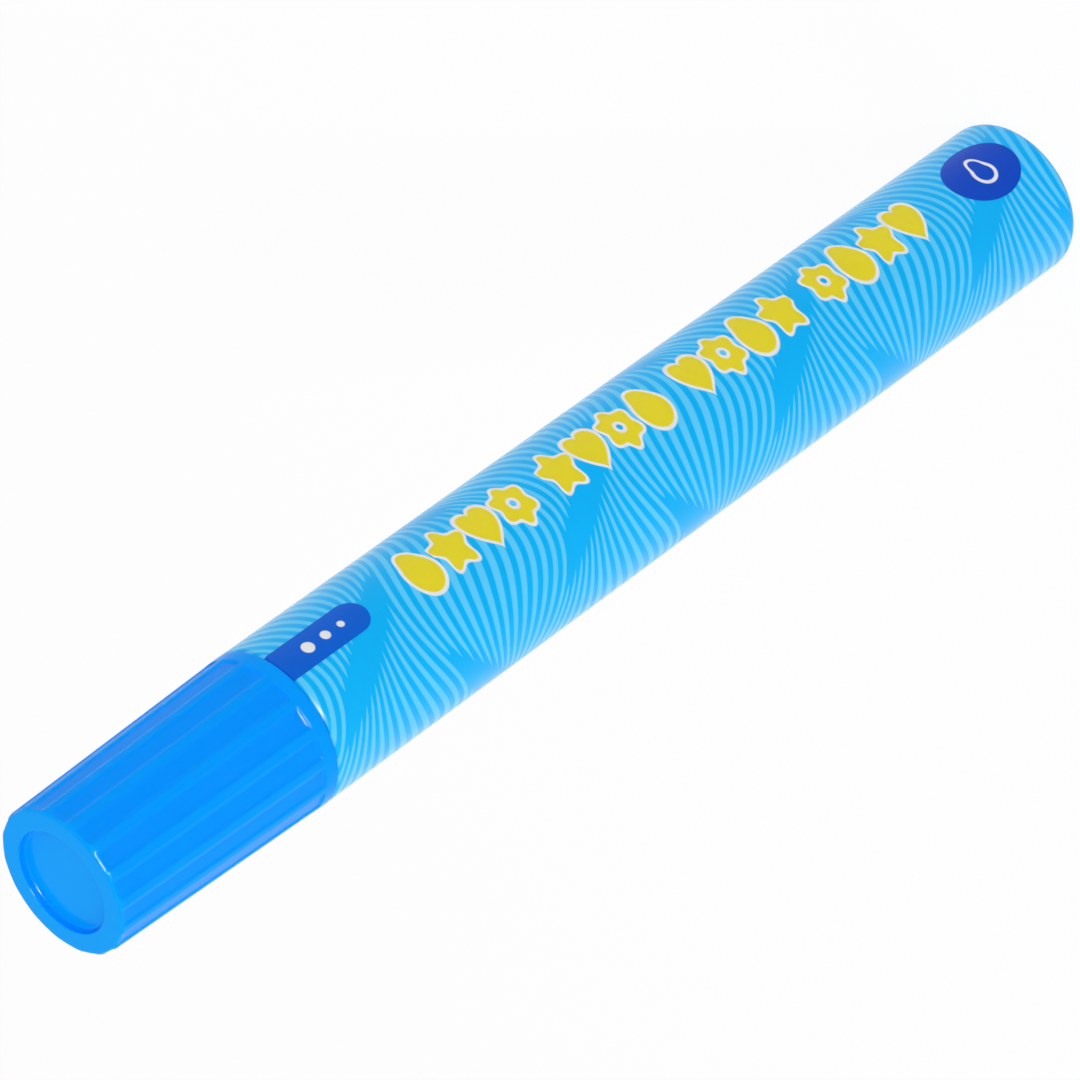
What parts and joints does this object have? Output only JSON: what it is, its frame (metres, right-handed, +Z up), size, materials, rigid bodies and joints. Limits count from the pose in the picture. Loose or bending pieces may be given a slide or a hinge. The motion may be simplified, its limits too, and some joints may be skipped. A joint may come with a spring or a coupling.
{
  "type": "glue tube",
  "caption": "Slim upright tube of liquid glue with a printed sleeve, a domed sponge applicator and a fluted, tapering push-on cap with a dished end.",
  "frame": {"origin": "centre of the base's standing ring, where the tube stands upright", "axes": "+Z up along the tube, from the closed base to the cap's end"},
  "size_m": [0.0236, 0.0236, 0.1933],
  "materials": {
    "barrel_plastic": "satin",
    "sleeve_film": "gloss",
    "glue": "gloss",
    "plug_plastic": "satin",
    "sponge": "matte",
    "net": "matte",
    "cup_plastic": "satin",
    "cap_plastic": "gloss"
  },
  "bodies": {
    "tube": {"tube_body": "barrel_plastic", "printed_sleeve": "sleeve_film", "glue_fill": "glue", "feed_plug": "plug_plastic", "sponge_tip": "sponge", "net_cover": "net", "clamp_ring": "plug_plastic"},
    "cap": {"cap_shell": "cap_plastic", "sealing_cup": "cup_plastic"}
  },
  "joints": [
    {"name": "cap_pull", "type": "slide", "parent": "tube", "child": "cap", "axis": [0, 0, 1], "range_m": [0, 0.05]}
  ]
}
